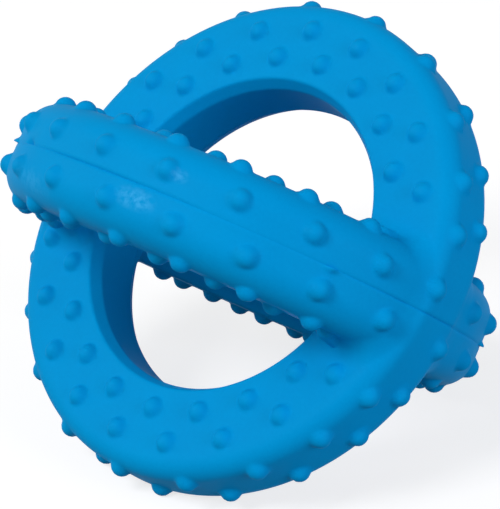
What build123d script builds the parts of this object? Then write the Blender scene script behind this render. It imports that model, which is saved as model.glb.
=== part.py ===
"""Rubber chew toy: two crossed rings covered in nubs, moulded as two halves bonded at a seam."""
import math
import os

from build123d import *

# Sizes in millimetres, angles in degrees.

# The arch ring: each half moulding carries one arch of it.
arch_outer_radius = 54.0
arch_bore_radius = 34.1
arch_thickness = 16.2
arch_rim_rounding = 4.2

# The seam ring: it is parted round its middle, half its thickness in each moulding.
seam_outer_radius = 53.2
seam_bore_radius = 37.2
seam_thickness = 22.2
seam_rim_rounding = 7.0

# Edges that both rings share. The rim and bore edges take at most these shares of a thin wall or ring.
bore_edge_rounding = 1.7
crossing_fillet = 4.5
rim_rounding_share = 0.85
bore_edge_share = 0.14

# As the toy lies on nubs of both rings, their planes lean this far from the floor.
arch_slope = 44.0
seam_slope = 40.6

# Nubs: low tapered studs that stand in for domes, laid out in rows round each ring. With an odd
# number in a turn, a row that has a nub at the top of an arch has a gap at the bottom.
nub_radius = 2.3
nub_height = 1.8
nub_taper = 32.0
nub_root = 1.2
nub_sides = 6
nubs_per_turn = 21

# Where the rows run, as shares of the wall counted from the bore and of the half thickness.
bore_row_share = 0.31
side_row_share = 0.65
rim_row_share = 0.43

# A nub stands at least this far outside the other ring's sides.
crossing_clearance = 0.6


class Ring:
    """Sizes of one ring, with points on its rounded section."""

    def __init__(self, outer_radius, bore_radius, thickness, rim_rounding):
        self.outer_radius = outer_radius
        self.bore_radius = bore_radius
        self.half = thickness / 2
        self.wall = outer_radius - bore_radius
        thinnest = min(self.wall, self.half)
        self.rounding = min(rim_rounding, rim_rounding_share * thinnest)
        self.edge_rounding = min(bore_edge_rounding, bore_edge_share * self.wall)

    def solid(self):
        """The ring about Z: flat bore wall with small rounded edges, flat sides, well rounded rim."""
        section = Pos(self.bore_radius + self.wall / 2, 0) * Rectangle(self.wall, 2 * self.half)
        section = fillet(section.vertices().group_by(Axis.X)[-1], self.rounding)
        section = fillet(section.vertices().group_by(Axis.X)[0], self.edge_rounding)
        return revolve(Plane.XZ * section, Axis.Z)

    def side_point(self, radius):
        """Radius, height and tilt of the side, or of the rim's rounding, at a radius."""
        core = self.outer_radius - self.rounding
        tilt = math.acos(max(radius - core, 0) / self.rounding)
        height = self.half - self.rounding + self.rounding * math.sin(tilt)
        return radius, height, math.degrees(tilt)

    def rim_point(self, height):
        """Radius, height and tilt of the rim, or of its rounding, at a height over the middle plane."""
        core = self.half - self.rounding
        tilt = math.asin(max(height - core, 0) / self.rounding)
        radius = self.outer_radius - self.rounding + self.rounding * math.cos(tilt)
        return radius, height, math.degrees(tilt)

    def rows(self):
        """The three rows of nubs on one side: beside the bore, on the side and near the rim."""
        half_step = 180 / nubs_per_turn
        return [
            (self.side_point(self.bore_radius + bore_row_share * self.wall), 0),
            (self.side_point(self.bore_radius + side_row_share * self.wall), half_step),
            (self.rim_point(rim_row_share * self.half), half_step),
        ]

    def nub_seats(self):
        """A seat for every nub of the ring about Z: its place on the surface and its outward plane."""
        step = 360 / nubs_per_turn
        seats = []
        for (radius, height, tilt), start in self.rows():
            for turn in range(nubs_per_turn):
                spin = Rot(Z=90 + start + turn * step)
                upper = spin * Pos(radius, 0, height) * Rot(Y=90 - tilt)
                seats.append(upper)
                seats.append(Rot(X=180) * upper)
        return seats


def nub():
    """One nub with flat tapered sides, standing on its own root, which is sunk into the ring."""
    root_radius = nub_radius + nub_root * math.tan(math.radians(nub_taper))
    root = Pos(0, 0, -nub_root) * RegularPolygon(root_radius, nub_sides)
    return extrude(root, nub_root + nub_height, taper=nub_taper)


def kept_seats(seats, place, crossing_place, crossing_ring):
    """Seats above the seam plane that stand clear of the other ring's sides."""
    clear = crossing_ring.half + crossing_clearance
    kept = []
    for seat in seats:
        placed = place * seat
        across = (crossing_place.inverse() * placed).position.Z
        if placed.position.Z > 0 and abs(across) > clear:
            kept.append(placed)
    return kept


def end_seats(height, arch_ring):
    """A seat on the arch ring's rim at each end of the crossing line, as high as the seam ring's rim row."""
    radius, _, tilt = arch_ring.rim_point(height)
    reach = math.degrees(math.asin(height / radius))
    seat = Rot(Z=reach) * Pos(radius, 0, height) * Rot(Y=90 - tilt)
    return [seat, Rot(Z=180 - 2 * reach) * seat]


def upper_half_moulding():
    """Half the seam ring with one arch on it, built with the seam plane flat at Z = 0."""
    seam_ring = Ring(seam_outer_radius, seam_bore_radius, seam_thickness, seam_rim_rounding)
    arch_ring = Ring(arch_outer_radius, arch_bore_radius, arch_thickness, arch_rim_rounding)
    seam_place = Location()
    arch_place = Rot(X=arch_slope + seam_slope)

    seam_solid = seam_ring.solid()
    arch_solid = arch_place * arch_ring.solid()
    crossed = seam_solid + arch_solid
    crossed = fillet(new_edges(seam_solid, arch_solid, combined=crossed), crossing_fillet)

    reach = 2 * (arch_outer_radius + seam_outer_radius)
    above_seam = Pos(0, 0, reach / 2) * Box(reach, reach, reach)
    body = crossed & above_seam

    seats = kept_seats(seam_ring.nub_seats(), seam_place, arch_place, arch_ring)
    seats += kept_seats(arch_ring.nub_seats(), arch_place, seam_place, seam_ring)
    seats += [arch_place * seat for seat in end_seats(rim_row_share * seam_ring.half, arch_ring)]
    pattern = nub()
    return body.fuse(*[seat * pattern for seat in seats])


def main():
    os.makedirs("parts", exist_ok=True)
    half = upper_half_moulding()
    halves = {
        "upper_half": Rot(X=-seam_slope) * half,
        "lower_half": Rot(X=180 - seam_slope) * half,
    }
    lift = -min(piece.bounding_box().min.Z for piece in halves.values())
    for name, piece in halves.items():
        piece = Pos(0, 0, lift) * piece
        export_step(piece, f"parts/{name}.step")
        size = piece.bounding_box().size
        print(name, f"{size.X:.1f} x {size.Y:.1f} x {size.Z:.1f} mm", f"{piece.volume / 1000:.1f} cm3")


main()
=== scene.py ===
import math

import bmesh
import bpy
import numpy as np
from mathutils import Matrix, Vector


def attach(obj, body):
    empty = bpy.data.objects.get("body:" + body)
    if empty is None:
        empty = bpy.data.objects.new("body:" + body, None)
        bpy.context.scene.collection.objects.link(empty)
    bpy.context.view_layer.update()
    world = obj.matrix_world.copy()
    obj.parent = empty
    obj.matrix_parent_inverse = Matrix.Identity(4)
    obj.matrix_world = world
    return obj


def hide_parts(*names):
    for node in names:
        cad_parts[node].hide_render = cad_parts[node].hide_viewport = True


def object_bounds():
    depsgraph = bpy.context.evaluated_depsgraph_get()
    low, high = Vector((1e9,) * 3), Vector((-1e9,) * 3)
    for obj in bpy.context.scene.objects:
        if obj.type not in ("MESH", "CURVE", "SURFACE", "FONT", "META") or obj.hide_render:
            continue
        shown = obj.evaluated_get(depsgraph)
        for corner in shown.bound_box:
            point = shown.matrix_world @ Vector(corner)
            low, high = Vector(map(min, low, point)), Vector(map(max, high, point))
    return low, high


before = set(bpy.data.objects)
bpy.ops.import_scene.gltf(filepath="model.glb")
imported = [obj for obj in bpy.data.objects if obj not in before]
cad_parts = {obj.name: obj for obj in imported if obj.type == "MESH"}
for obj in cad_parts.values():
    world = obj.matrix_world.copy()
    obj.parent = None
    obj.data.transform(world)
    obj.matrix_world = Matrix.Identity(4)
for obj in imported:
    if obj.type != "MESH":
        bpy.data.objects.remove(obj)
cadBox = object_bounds()
mm = 0.001
middle = np.array((cadBox[0] + cadBox[1]) / 2)  # the rings' shared centre, in metres
print("frame loaded, centre height", round(middle[2] / mm, 2), "mm")

# The rings, in millimetres from their shared centre. X is the line on which they cross.
rings = {
    "archSlope": 44.0,  # lean of each ring's plane from the floor, in degrees
    "seamSlope": 40.6,
    "arch": {"outer": 54.0, "bore": 34.1, "half": 8.1, "rim": 4.2},  # half the thickness, rim's rounding
    "seam": {"outer": 53.2, "bore": 37.2, "half": 11.1, "rim": 7.0},
    "boreEdge": 0.5,  # rounding inside the chamfer
    "boreChamfer": (1.4, 2.8),  # legs of the chamfer along the radius and along the bore
    "crossingBlend": 5.0,
    "grooveDepth": 0.34,  # the shallow groove where the two mouldings are bonded
    "grooveWidth": 0.8,
    "grooveFading": 0.35,  # share of the depth by which it swings about its mean
    "grooveWaves": 4,  # swings in a turn
}
# The shapes are worked out with both rings leaning alike, and then settled by half the difference.
slope = math.radians((rings["archSlope"] + rings["seamSlope"]) / 2)
settle = math.radians((rings["archSlope"] - rings["seamSlope"]) / 2)
across = np.array((1.0, 0.0, 0.0))
archUp = np.array((0.0, math.cos(slope), math.sin(slope)))
archAxis = np.array((0.0, -math.sin(slope), math.cos(slope)))
seamFront = np.array((0.0, -math.cos(slope), math.sin(slope)))
seamAxis = np.array((0.0, math.sin(slope), math.cos(slope)))
halfTurn = np.array((1.0, -1.0, -1.0))  # half a turn about X carries one moulding on to the other

# Nubs: round domes in rows, three on each side of a ring. Lengths in millimetres, angles in degrees.
nubs = {
    "perTurn": 21,
    "radius": 2.25,
    "height": 1.72,
    "blend": 0.4,
    "rowTop": 90.0,  # where a row is counted from: the top of an arch, or the back of the seam ring
    "archTurn": -2.6,  # turn of the arch ring's side rows
    "archStarts": (0.0, 0.5),  # steps by which the row beside the bore and the one further out start late
    "seamTurn": 1.3,
    "seamStarts": (0.8, 0.3),
    "seamRimStart": 0.5,
    "rimStep": 19.5,  # spacing at the top of an arch's rim, drawn in towards the crossings
    "rimDraw": 0.008,
    "rimLead": -0.35,  # the near rim row runs this share of a step ahead of the far one
    "rimCount": 4,  # nubs each side of the top
    "apart": 4.8,  # a nub nearer than this to an earlier one is left out
    "boreRow": 0.31,  # share of the wall, counted from the bore
    "sideRow": 0.65,
    "rimRow": 0.43,  # share of the half thickness
    "sideClearance": 3.0,  # least height of a seat over the other ring's sides
    "rimClearance": 0.6,
    "settling": 6,  # steps that bring a seat on to the surface
    "nearest": 3,  # nubs that count at any one point
    "slice": 4000,  # points looked up at a time, to save memory
}


# Section of a ring: a rectangle in radius and height, with a large rounding at the rim and chamfers at
# the bore. Gives the distance to it, and the direction in which that grows apart from the chamfers.
def ringField(p, ring, up, axis):
    height, x, v = p @ axis, p @ across, p @ up
    radius = np.hypot(x, v)
    centre, reach = (ring["outer"] + ring["bore"]) / 2, (ring["outer"] - ring["bore"]) / 2
    rounding = np.where(radius > centre, ring["rim"], rings["boreEdge"])
    qx = np.abs(radius - centre) - reach + rounding
    qy = np.abs(height) - ring["half"] + rounding
    wide, tall = np.maximum(qx, 0), np.maximum(qy, 0)
    outside = np.hypot(wide, tall)
    distance = np.minimum(np.maximum(qx, qy), 0) + outside - rounding
    scale = np.where(outside > 0, outside, 1)
    growX = np.where(outside > 0, wide / scale, qx > qy) * np.sign(radius - centre)
    growY = np.where(outside > 0, tall / scale, qx <= qy) * np.sign(height)
    legX, legY = rings["boreChamfer"]
    overBore, overSide = ring["bore"] + legX - radius, np.abs(height) - ring["half"]
    chamfer = (overBore * legY + overSide * legX) / math.hypot(legX, legY)
    distance = np.where(radius < centre, np.maximum(distance, chamfer), distance)
    flat = (x[..., None] * across + v[..., None] * up) / radius[..., None]
    return distance, growX[..., None] * flat + growY[..., None] * axis


# Union with a round fillet of radius r between two distances.
def filletUnion(a, b, r):
    return np.maximum(r, np.minimum(a, b)) - np.hypot(np.maximum(r - a, 0), np.maximum(r - b, 0))


# Both rings, with a fillet that fades out where their surfaces run the same way.
def bodyDistance(p):
    arch, archGrow = ringField(p, rings["arch"], archUp, archAxis)
    seam, seamGrow = ringField(p, rings["seam"], seamFront, seamAxis)
    meeting = np.clip(1 - (archGrow * seamGrow).sum(-1), 0, 1)
    return filletUnion(arch, seam, rings["crossingBlend"] * meeting)


# Gradient of the body distance by central differences, as unit vectors.
def bodyNormal(p, step=0.02):
    grad = np.stack([bodyDistance(p + o) - bodyDistance(p - o) for o in np.eye(3) * step], axis=-1)
    return grad / np.linalg.norm(grad, axis=-1, keepdims=True)


# Radius and height on a ring's section, at a radius on its side or at a height on its rim.
def sidePoint(ring, radius):
    over = max(radius - ring["outer"] + ring["rim"], 0)
    return radius, ring["half"] - ring["rim"] + math.sqrt(ring["rim"] ** 2 - over ** 2)


def rimPoint(ring, height):
    over = max(height - ring["half"] + ring["rim"], 0)
    return ring["outer"] - ring["rim"] + math.sqrt(ring["rim"] ** 2 - over ** 2), height


# Points on a ring's section at a radius and height, at angles in degrees from X towards up.
def ringPoints(section, angles, up, axis):
    radius, height = section
    angle = np.radians(angles)[:, None]
    return radius * (np.cos(angle) * across + np.sin(angle) * up) + height * axis


# Rows of seats, with the same rows turned half round about X.
def withHalfTurn(rows):
    return np.concatenate(rows + [row * halfTurn for row in rows])


# Seats of evenly spaced rows round one side of a ring and, by the half turn, round its other side.
def evenSeats(rows, up, axis, turn):
    step = 360.0 / nubs["perTurn"]
    seats = []
    for section, start in rows:
        angles = nubs["rowTop"] + turn + (np.arange(nubs["perTurn"]) + start) * step
        seats.append(ringPoints(section, angles, up, axis))
    return withHalfTurn(seats)


# The two rows of side nubs, one beside the bore and one further out, with the step at which each starts.
def sideRows(ring, starts):
    wall = ring["outer"] - ring["bore"]
    radii = [ring["bore"] + nubs[row] * wall for row in ("boreRow", "sideRow")]
    return [(sidePoint(ring, radius), start) for radius, start in zip(radii, starts)]


# Rim rows of both arches, near and far: angle = top + step * u * (1 - draw * u * u), u counted from the top.
def archRimSeats(arch):
    radius, height = rimPoint(arch, nubs["rimRow"] * arch["half"])
    count = np.arange(-nubs["rimCount"], nubs["rimCount"] + 1)
    seats = []
    for lead, side in ((nubs["rimLead"], 1), (0.0, -1)):
        u = count + lead
        angles = nubs["rowTop"] + nubs["rimStep"] * u * (1 - nubs["rimDraw"] * u ** 2)
        seats.append(ringPoints((radius, side * height), angles, archUp, archAxis))
    return withHalfTurn(seats)


# The seats that stand further than a clearance outside the other ring's sides.
def clearOf(seats, other, otherAxis, clearance):
    return seats[np.abs(seats @ otherAxis) > other["half"] + clearance]


# A seat above and one below the seam at each end of the crossing line.
def endSeats():
    height = nubs["rimRow"] * rings["seam"]["half"]
    radius, _ = rimPoint(rings["arch"], height)
    reach = math.degrees(math.asin(height / radius))
    return withHalfTurn([ringPoints((radius, height), (180.0 - reach, reach), archUp, archAxis)])


# All nub seats, moved on to the body's surface along its gradient.
def nubSeats():
    arch, seam = rings["arch"], rings["seam"]
    seamRim = (rimPoint(seam, nubs["rimRow"] * seam["half"]), nubs["seamRimStart"])
    archSides = evenSeats(sideRows(arch, nubs["archStarts"]), archUp, archAxis, nubs["archTurn"])
    seamSides = evenSeats(sideRows(seam, nubs["seamStarts"]), -seamFront, seamAxis, nubs["seamTurn"])
    seamRims = evenSeats([seamRim], -seamFront, seamAxis, nubs["seamTurn"])
    seats = np.concatenate([
        clearOf(archSides, seam, seamAxis, nubs["sideClearance"]),
        clearOf(seamSides, arch, archAxis, nubs["sideClearance"]),
        clearOf(archRimSeats(arch), seam, seamAxis, nubs["rimClearance"]),
        clearOf(seamRims, arch, archAxis, nubs["rimClearance"]),
        endSeats(),
    ])
    for _ in range(nubs["settling"]):
        seats = seats - bodyDistance(seats)[:, None] * bodyNormal(seats)
    gaps = np.linalg.norm(seats[:, None] - seats[None], axis=-1)
    seats = seats[~np.tril(gaps < nubs["apart"], -1).any(1)]
    return seats, bodyNormal(seats)


# Each nub is the cap of a sphere: radius = (r * r + h * h) / (2 * h), centred below its seat.
nubSphere = (nubs["radius"] ** 2 + nubs["height"] ** 2) / (2 * nubs["height"])
seatPoints, seatNormals = nubSeats()
nubCentres = seatPoints + seatNormals * (nubs["height"] - nubSphere)
print("nubs seated:", len(nubCentres))


# Indices of the nearest nubs to each point.
def nearestNubs(p):
    flat = p.reshape(-1, 3)
    count = nubs["nearest"]
    found = []
    for part in np.array_split(flat, max(1, len(flat) // nubs["slice"])):
        gap = ((part[:, None, :] - nubCentres[None, :, :]) ** 2).sum(-1)
        found.append(np.argpartition(gap, count, axis=1)[:, :count])
    return np.concatenate(found).reshape(p.shape[:-1] + (count,))


# Marks of moulding at the seam: places at degrees round the seam ring from X, spreads along it, across
# the seam and outwards in millimetres, and the height that they add.
marks = {
    "flashHook": {"angle": 132.0, "spread": (1.1, 0.8, 1.8), "lift": 1.4},
    "notch": {"angle": 117.0, "spread": (1.4, 0.9, 2.2), "lift": -1.3},
    "flashTag": {"angle": -31.0, "spread": (1.0, 0.8, 1.8), "lift": 1.4},
}


# Sum of the marks: lift * exp(-r * r), with r counted in spreads from the mark's place on the seam.
def markLift(p):
    total = np.zeros(p.shape[:-1])
    for mark in marks.values():
        angle = math.radians(mark["angle"])
        out = math.cos(angle) * across + math.sin(angle) * seamFront
        gap = p - rings["seam"]["outer"] * out
        run = np.stack([gap @ np.cross(seamAxis, out), gap @ seamAxis, gap @ out], -1) / mark["spread"]
        total = total + mark["lift"] * np.exp(-(run ** 2).sum(-1))
    return total


# Depth of the groove at the seam plane: depth * (1 - fading + fading * cos(waves * angle)), falling off
# above the plane as the square of what is left of its width.
def grooveAt(p):
    angle = np.arctan2(p @ seamFront, p @ across)
    fading = rings["grooveFading"] * (1 - np.cos(rings["grooveWaves"] * angle))
    depth = rings["grooveDepth"] * (1 - fading)
    return depth * np.clip(1 - (p @ seamAxis) / rings["grooveWidth"], 0, 1) ** 2


# Moulding distance: rings, then nubs as spheres with a soft foot, the marks and the groove.
def mouldingDistance(p, near):
    body = bodyDistance(p)
    dome = np.linalg.norm(p[..., None, :] - nubCentres[near], axis=-1).min(-1) - nubSphere
    return filletUnion(body, dome, nubs["blend"]) + grooveAt(p) - markLift(p)


# How the surface grid is cast: rays leave a small rectangle in each ring's section, in millimetres,
# and are spread evenly along that rectangle's rounded offset.
casting = {
    "alongSteps": 262,  # steps along a limb
    "halfSteps": 76,  # even steps round half a section
    "seamSteps": (0.06, 0.12, 0.19, 0.27, 0.36, 0.55, 0.7, 1.1),  # extra samples beside the seam
    "coreRadius": (40.0, 45.0),
    "coreHeight": 3.0,
    "offset": 7.5,
    "reach": 15.0,  # longest ray
    "guess": 9.0,  # ray length at which the nearest nubs are looked up
    "strides": 50,
    "stride": 0.8,  # share of the distance left
    "mergeGap": 0.002,
    "sharpAngle": 55.0,
}


# Upper half of the section grid: where rays start and which way they point, from the rim's middle
# round to the bore's middle.
def sectionRays():
    inner, outer = casting["coreRadius"]
    tall, offset = casting["coreHeight"], casting["offset"]
    quarter = offset * math.pi / 2
    ends = np.cumsum((0.0, tall, quarter, outer - inner, quarter, tall))
    extra = np.array(casting["seamSteps"])
    even = np.linspace(0.0, ends[-1], casting["halfSteps"] + 1)
    run = np.sort(np.concatenate((even, extra, ends[-1] - extra)))
    angle = np.radians(np.interp(run, ends, (0.0, 0.0, 90.0, 90.0, 180.0, 180.0)))
    radius = np.interp(run, ends, (outer, outer, outer, inner, inner, inner))
    height = np.interp(run, ends, (0.0, tall, tall, tall, tall, 0.0))
    return radius, height, np.cos(angle), np.sin(angle)


# Ray length at which the surface is first met from inside, in strides of a share of the distance left.
def rayLength(distance, shape):
    length = np.zeros(shape)
    for _ in range(casting["strides"]):
        length = np.clip(length - casting["stride"] * distance(length), 0, casting["reach"])
    return length


# One limb of the crossed rings: section rays swept round the ring between the two mitre planes.
# A point is radius * (cos(turn) * X + sin(turn) * up) + height * axis, and each limb starts where
# sin(turn) = mitre * |height| / radius, the plane half way to the neighbouring limb.
def limbGrid(up, axis, sides):
    radius0, height0, outX, outY = sectionRays()
    columns = []
    for side, mitre in sides:
        sweep = slice(None) if side > 0 else slice(-2, 0, -1)
        columns.append((radius0[sweep], side * height0[sweep], outX[sweep], side * outY[sweep],
                        np.full(len(radius0[sweep]), mitre)))
    radius0, height0, outX, outY, mitre = (np.concatenate(c) for c in zip(*columns))

    def place(length, turn):
        radius, height = radius0 + outX * length, height0 + outY * length
        flat = (radius * np.cos(turn))[..., None] * across + (radius * np.sin(turn))[..., None] * up
        return flat + height[..., None] * axis

    def mitreTurn(length, far):
        radius, height = radius0 + outX * length, height0 + outY * length
        turn = np.arcsin(np.clip(mitre * np.abs(height) / radius, 0, 1))
        return math.pi - turn if far else turn

    def mitreLength(far):
        guess = np.full(len(radius0), casting["guess"])
        near = nearestNubs(place(guess, mitreTurn(guess, far)))
        return rayLength(lambda d: mouldingDistance(place(d, mitreTurn(d, far)), near), guess.shape)

    ends = mitreLength(False), mitreLength(True)
    first, last = mitreTurn(ends[0], False), mitreTurn(ends[1], True)
    turn = first + np.linspace(0.0, 1.0, casting["alongSteps"] + 1)[:, None] * (last - first)
    near = nearestNubs(place(np.full(turn.shape, casting["guess"]), turn))
    length = rayLength(lambda d: mouldingDistance(place(d, turn), near), turn.shape)
    length[0], length[-1] = ends
    return place(length, turn)


# Quads between neighbouring rows and columns of a grid whose first vertex has the index given.
def gridQuads(rows, columns, first, closed):
    wide = columns if closed else columns - 1
    i, j = np.meshgrid(np.arange(rows - 1), np.arange(wide), indexing="ij")
    k = (j + 1) % columns
    row, nextRow = i * columns, (i + 1) * columns
    quads = np.stack([row + j, row + k, nextRow + k, nextRow + j], -1)
    return quads.reshape(-1, 4) + first


# Three limbs make one moulding: an arch, and half the seam ring's thickness in front and at the back.
def halfMoulding():
    lean = math.tan(slope)
    arch = limbGrid(archUp, archAxis, ((1, lean), (-1, 1 / lean)))
    front = limbGrid(seamFront, seamAxis, ((1, lean),))
    back = limbGrid(-seamFront, seamAxis, ((1, 1 / lean),))
    points, quads, first = [], [], 0
    for grid, closed in ((arch, True), (front, False), (back, False)):
        rows, columns = grid.shape[:2]
        points.append(grid.reshape(-1, 3))
        quads.append(gridQuads(rows, columns, first, closed))
        if not closed:  # flat face on the seam plane, between the rim's and the bore's middle lines
            i = np.arange(rows - 1)
            rim, bore = i * columns + first, i * columns + columns - 1 + first
            quads.append(np.stack([rim, rim + columns, bore + columns, bore], -1))
        first += rows * columns
    return np.concatenate(points), np.concatenate(quads)


# From millimetres about the rings' centre to the frame, in metres, settled on the floor.
def toFrame(points):
    turn = np.array(Matrix.Rotation(settle, 3, "X"))
    return points @ turn.T * mm + middle


# A piece from points and quads: limbs merged along the mitres, faces turned outwards and shaded smooth.
def meshPiece(name, points, quads):
    mesh = bpy.data.meshes.new(name)
    mesh.from_pydata(toFrame(points), [], quads)
    work = bmesh.new()
    work.from_mesh(mesh)
    bmesh.ops.remove_doubles(work, verts=work.verts, dist=casting["mergeGap"] * mm)
    bmesh.ops.recalc_face_normals(work, faces=work.faces)
    openEdges = sum(1 for e in work.edges if len(e.link_faces) != 2)
    work.to_mesh(mesh)
    work.free()
    mesh.polygons.foreach_set("use_smooth", np.ones(len(mesh.polygons), dtype=bool))
    mesh.set_sharp_from_angle(angle=math.radians(casting["sharpAngle"]))
    piece = bpy.data.objects.new(name, mesh)
    bpy.context.scene.collection.objects.link(piece)
    print(name, "faces", len(mesh.polygons), "open edges", openEdges)
    return piece


# One shader value. Arithmetic on it adds Math nodes to its sheet.
class Wire:
    def __init__(self, sheet, socket):
        self.sheet, self.socket = sheet, socket

    def __add__(self, other):
        return self.sheet.maths("ADD", self, other)

    def __sub__(self, other):
        return self.sheet.maths("SUBTRACT", self, other)

    def __rsub__(self, other):
        return self.sheet.maths("SUBTRACT", other, self)

    def __mul__(self, other):
        return self.sheet.maths("MULTIPLY", self, other)

    __radd__ = __add__
    __rmul__ = __mul__


# A node tree, with one method that makes any node.
class Sheet:
    def __init__(self, owner):
        owner.use_nodes = True
        self.tree = owner.node_tree
        self.tree.nodes.clear()

    def node(self, kind, settings, sockets, out=0):
        made = self.tree.nodes.new(kind)
        for key, value in settings.items():
            setattr(made, key, value)
        for key, value in sockets.items():
            if isinstance(value, Wire):
                self.tree.links.new(value.socket, made.inputs[key])
            else:
                made.inputs[key].default_value = value
        return Wire(self, made.outputs[out]) if made.outputs else None

    def maths(self, operation, a, b):
        return self.node("ShaderNodeMath", {"operation": operation}, {0: a, 1: b})

    def vectors(self, operation, sockets, out="Vector"):
        return self.node("ShaderNodeVectorMath", {"operation": operation}, sockets, out)

    def mixColours(self, factor, a, b):  # a Mix node's colours are its sockets 6 and 7, and 2 going out
        return self.node("ShaderNodeMix", {"data_type": "RGBA"}, {0: factor, 6: a, 7: b}, 2)


# Sum of a list of wires.
def addUp(wires):
    return sum(wires[1:], wires[0])


rubber = {
    "blue": (0.000, 0.320, 0.690, 1),
    "deep": (0.000, 0.285, 0.640, 1),
    "roughness": 0.55,
    "specular": 0.02,
    "noiseDetail": 3.0,
    "noiseMiddle": 0.5,  # mean value of the noises
    "mottleScale": 70.0,
    "mottleRough": 0.16,
    "grainTone": 0.8,
    "grainScale": 1400.0,
    "grainRough": 0.08,
    "grainBump": 0.12,
    "grainDepth": 0.0003,
    "scuffAndSheenColour": (0.070, 0.460, 0.860, 1),
    "scuffAndSheenRough": 0.15,
    "speckleScale": 900.0,
    "speckle": (0.35, 0.6),  # noise values between which the speckle of the scuffs and of the painted sheen sets in
}
# Pale scuffs on the seam ring's rim, and a painted sheen (a pale reflection painted into the colour) at the
# seam ring's left end: place and spread in millimetres in the frame, and how pale.
scuffsAndSheen = {
    "bondLine": {"place": (13.1, -41.1, 72.8), "spread": (6.2, 2.6, 2.6), "strength": 0.8},
    "besideNub": {"place": (19.2, -34.8, 77.3), "spread": (3.0, 1.8, 1.8), "strength": 0.6},
    # painted sheen: a pale reflection painted into the colour at the left end, weaker than the scuffs
    "endPaintedSheen": {"place": (-17.5, -42.2, 68.5), "spread": (12.0, 3.4, 3.4), "strength": 0.3},
}


# How far a patch covers the surface (a scuff, and likewise the painted sheen): its strength at its place,
# falling off to 0 at its spread.
def scuffAndSheenCover(s, place, patch):
    centre = tuple(v * mm for v in patch["place"])
    scale = tuple(1 / (v * mm) for v in patch["spread"])
    gap = s.vectors("SUBTRACT", {0: place, 1: centre})
    run = s.vectors("MULTIPLY", {0: gap, 1: scale})
    far = s.vectors("LENGTH", {0: run}, "Value")
    return s.node("ShaderNodeMapRange", {}, {"Value": 1 - far, "To Max": patch["strength"]})


# Blue rubber: two close blues mottled and grained by noise, with speckled scuffs, a speckled painted sheen
# in the scuff colour, and a fine bump.
def rubberMaterial():
    material = bpy.data.materials.new("blueRubber")
    s = Sheet(material)
    place = s.node("ShaderNodeTexCoord", {}, {}, "Object")
    mottle, grain, fine = (
        s.node("ShaderNodeTexNoise", {}, {
            "Vector": place, "Scale": rubber[scale], "Detail": rubber["noiseDetail"]})
        for scale in ("mottleScale", "grainScale", "speckleScale")
    )
    low, high = rubber["speckle"]
    speckle = s.node("ShaderNodeMapRange", {}, {"Value": fine, "From Min": low, "From Max": high})
    scuffAndSheenMask = addUp([scuffAndSheenCover(s, place, patch) for patch in scuffsAndSheen.values()]) * speckle
    mottling, graining = mottle - rubber["noiseMiddle"], grain - rubber["noiseMiddle"]
    tone = mottle + graining * rubber["grainTone"]
    plain = s.mixColours(tone, rubber["deep"], rubber["blue"])
    # the pale colour goes in where the scuffs are and where the sheen is painted
    colour = s.mixColours(scuffAndSheenMask, plain, rubber["scuffAndSheenColour"])
    rough = rubber["roughness"] + mottling * rubber["mottleRough"] + graining * rubber["grainRough"]
    rough = rough + scuffAndSheenMask * rubber["scuffAndSheenRough"]
    bump = s.node("ShaderNodeBump", {}, {
        "Strength": rubber["grainBump"], "Distance": rubber["grainDepth"], "Height": grain})
    shader = s.node("ShaderNodeBsdfPrincipled", {}, {
        "Base Color": colour, "Roughness": rough, "Normal": bump,
        "Specular IOR Level": rubber["specular"]})
    s.node("ShaderNodeOutputMaterial", {}, {"Surface": shader})
    return material


# The CAD node that each moulding stands for, and the turn that carries the upper one to its place.
mouldings = {
    "upperMoulding": ("upper_half", np.ones(3)),
    "lowerMoulding": ("lower_half", halfTurn),
}
blueRubber = rubberMaterial()
halfPoints, halfQuads = halfMoulding()
for name, (node, turn) in mouldings.items():
    piece = meshPiece(name, halfPoints * turn, halfQuads)
    piece.data.materials.append(blueRubber)
    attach(piece, "root")
    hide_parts(node)

# Studio: a pale floor, a pale sky and three large soft lamps, from the front, the left and the right.
studio = {
    "floorSize": 6.0,
    "floorColour": (0.34, 0.34, 0.34, 1),
    "floorLift": 0.75,  # light that the floor adds to what the camera sees of it
    "skyColour": (1, 1, 1, 1),
    "skyStrength": 0.2,
    "reach": 2.2,  # metres from the toy to each lamp
}
lamps = {
    "frontLamp": {"azimuth": -2.0, "elevation": 46.0, "size": 0.8, "power": 28.0, "tint": (1, 1, 1)},
    "leftLamp": {"azimuth": -62.0, "elevation": 28.0, "size": 1.4, "power": 12.5, "tint": (1, 1, 1)},
    "rightLamp": {"azimuth": 96.0, "elevation": 18.0, "size": 1.3, "power": 24.0, "tint": (0.83, 0.86, 1)},
}


# Sum of the rays that show a background as it is: straight from the camera, mirrored or through glass.
def seenRays(s):
    kinds = ("Is Camera Ray", "Is Glossy Ray", "Is Transmission Ray")
    return addUp([s.node("ShaderNodeLightPath", {}, {}, kind) for kind in kinds])


def floorMaterial():
    material = bpy.data.materials.new("paleFloor")
    s = Sheet(material)
    matt = s.node("ShaderNodeBsdfDiffuse", {}, {"Color": studio["floorColour"]})
    lift = s.node("ShaderNodeEmission", {}, {"Strength": seenRays(s) * studio["floorLift"]})
    both = s.node("ShaderNodeAddShader", {}, {0: matt, 1: lift})
    s.node("ShaderNodeOutputMaterial", {}, {"Surface": both})
    return material


# Unit vector at degrees round from the front, towards +X, and up from the floor.
def heading(azimuth, elevation):
    az, el = math.radians(azimuth), math.radians(elevation)
    return Vector((math.sin(az) * math.cos(el), -math.cos(az) * math.cos(el), math.sin(el)))


def buildFloor():
    half = studio["floorSize"] / 2
    corners = np.array([(-half, -half, 0), (half, -half, 0), (half, half, 0), (-half, half, 0)])
    mesh = bpy.data.meshes.new("floor")
    mesh.from_pydata(corners, [], [(0, 1, 2, 3)])
    mesh.materials.append(floorMaterial())
    floor = bpy.data.objects.new("floor", mesh)
    bpy.context.scene.collection.objects.link(floor)


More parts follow.
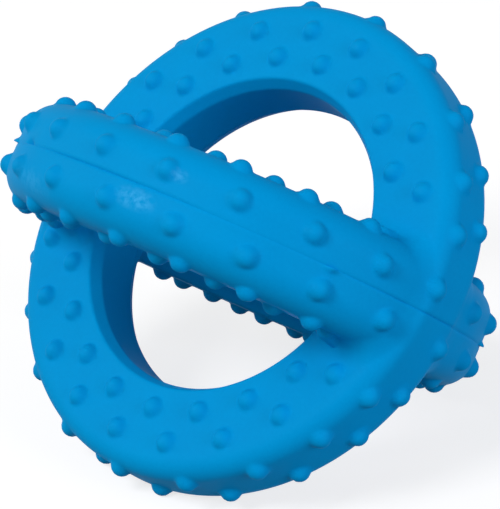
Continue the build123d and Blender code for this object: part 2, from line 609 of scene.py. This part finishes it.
# Square lamps at the same reach, each facing the toy's centre.
def buildLamps():
    for name, lamp in lamps.items():
        data = bpy.data.lights.new(name, "AREA")
        data.size, data.energy, data.color = lamp["size"], lamp["power"], lamp["tint"]
        thing = bpy.data.objects.new(name, data)
        bpy.context.scene.collection.objects.link(thing)
        toward = heading(lamp["azimuth"], lamp["elevation"])
        thing.location = Vector(middle) + toward * studio["reach"]
        thing.rotation_euler = toward.to_track_quat("Z", "Y").to_euler()


# A sky that is seen at full strength, and lights the toy with less.
def buildSky():
    world = bpy.data.worlds.new("sky")
    s = Sheet(world)
    strength = studio["skyStrength"] + seenRays(s) * (1 - studio["skyStrength"])
    sky = s.node("ShaderNodeBackground", {}, {"Color": studio["skyColour"], "Strength": strength})
    s.node("ShaderNodeOutputWorld", {}, {"Surface": sky})
    bpy.context.scene.world = world


viewpoint = {
    "azimuth": 47.13,  # degrees round from the front, up from the floor, and of roll
    "elevation": 27.00,
    "roll": -4.68,
    "distance": 0.600,  # metres from the point aimed at, which lies beside the toy's centre
    "aimRight": 0.00037,
    "aimDown": 0.00179,
    "far": 20.0,
    "focal": 200.8,  # millimetres
    "sensor": 36.0,
}


def buildCamera():
    toward = heading(viewpoint["azimuth"], viewpoint["elevation"])
    level = Vector((-toward.y, toward.x, 0)).normalized()
    roll = math.radians(viewpoint["roll"])
    right = level * math.cos(roll) + toward.cross(level) * math.sin(roll)
    up = toward.cross(right)
    aim = Vector(middle) + right * viewpoint["aimRight"] - up * viewpoint["aimDown"]
    data = bpy.data.cameras.new("camera")
    data.lens, data.sensor_width = viewpoint["focal"], viewpoint["sensor"]
    data.clip_end = viewpoint["far"]
    camera = bpy.data.objects.new("camera", data)
    bpy.context.scene.collection.objects.link(camera)
    turn = Matrix((right, up, toward)).transposed().to_4x4()
    camera.matrix_world = Matrix.Translation(aim + toward * viewpoint["distance"]) @ turn
    bpy.context.scene.camera = camera


buildFloor()
buildLamps()
buildSky()
print("studio set")
buildCamera()
print("camera set")
bpy.context.scene.view_settings.view_transform = "Standard"
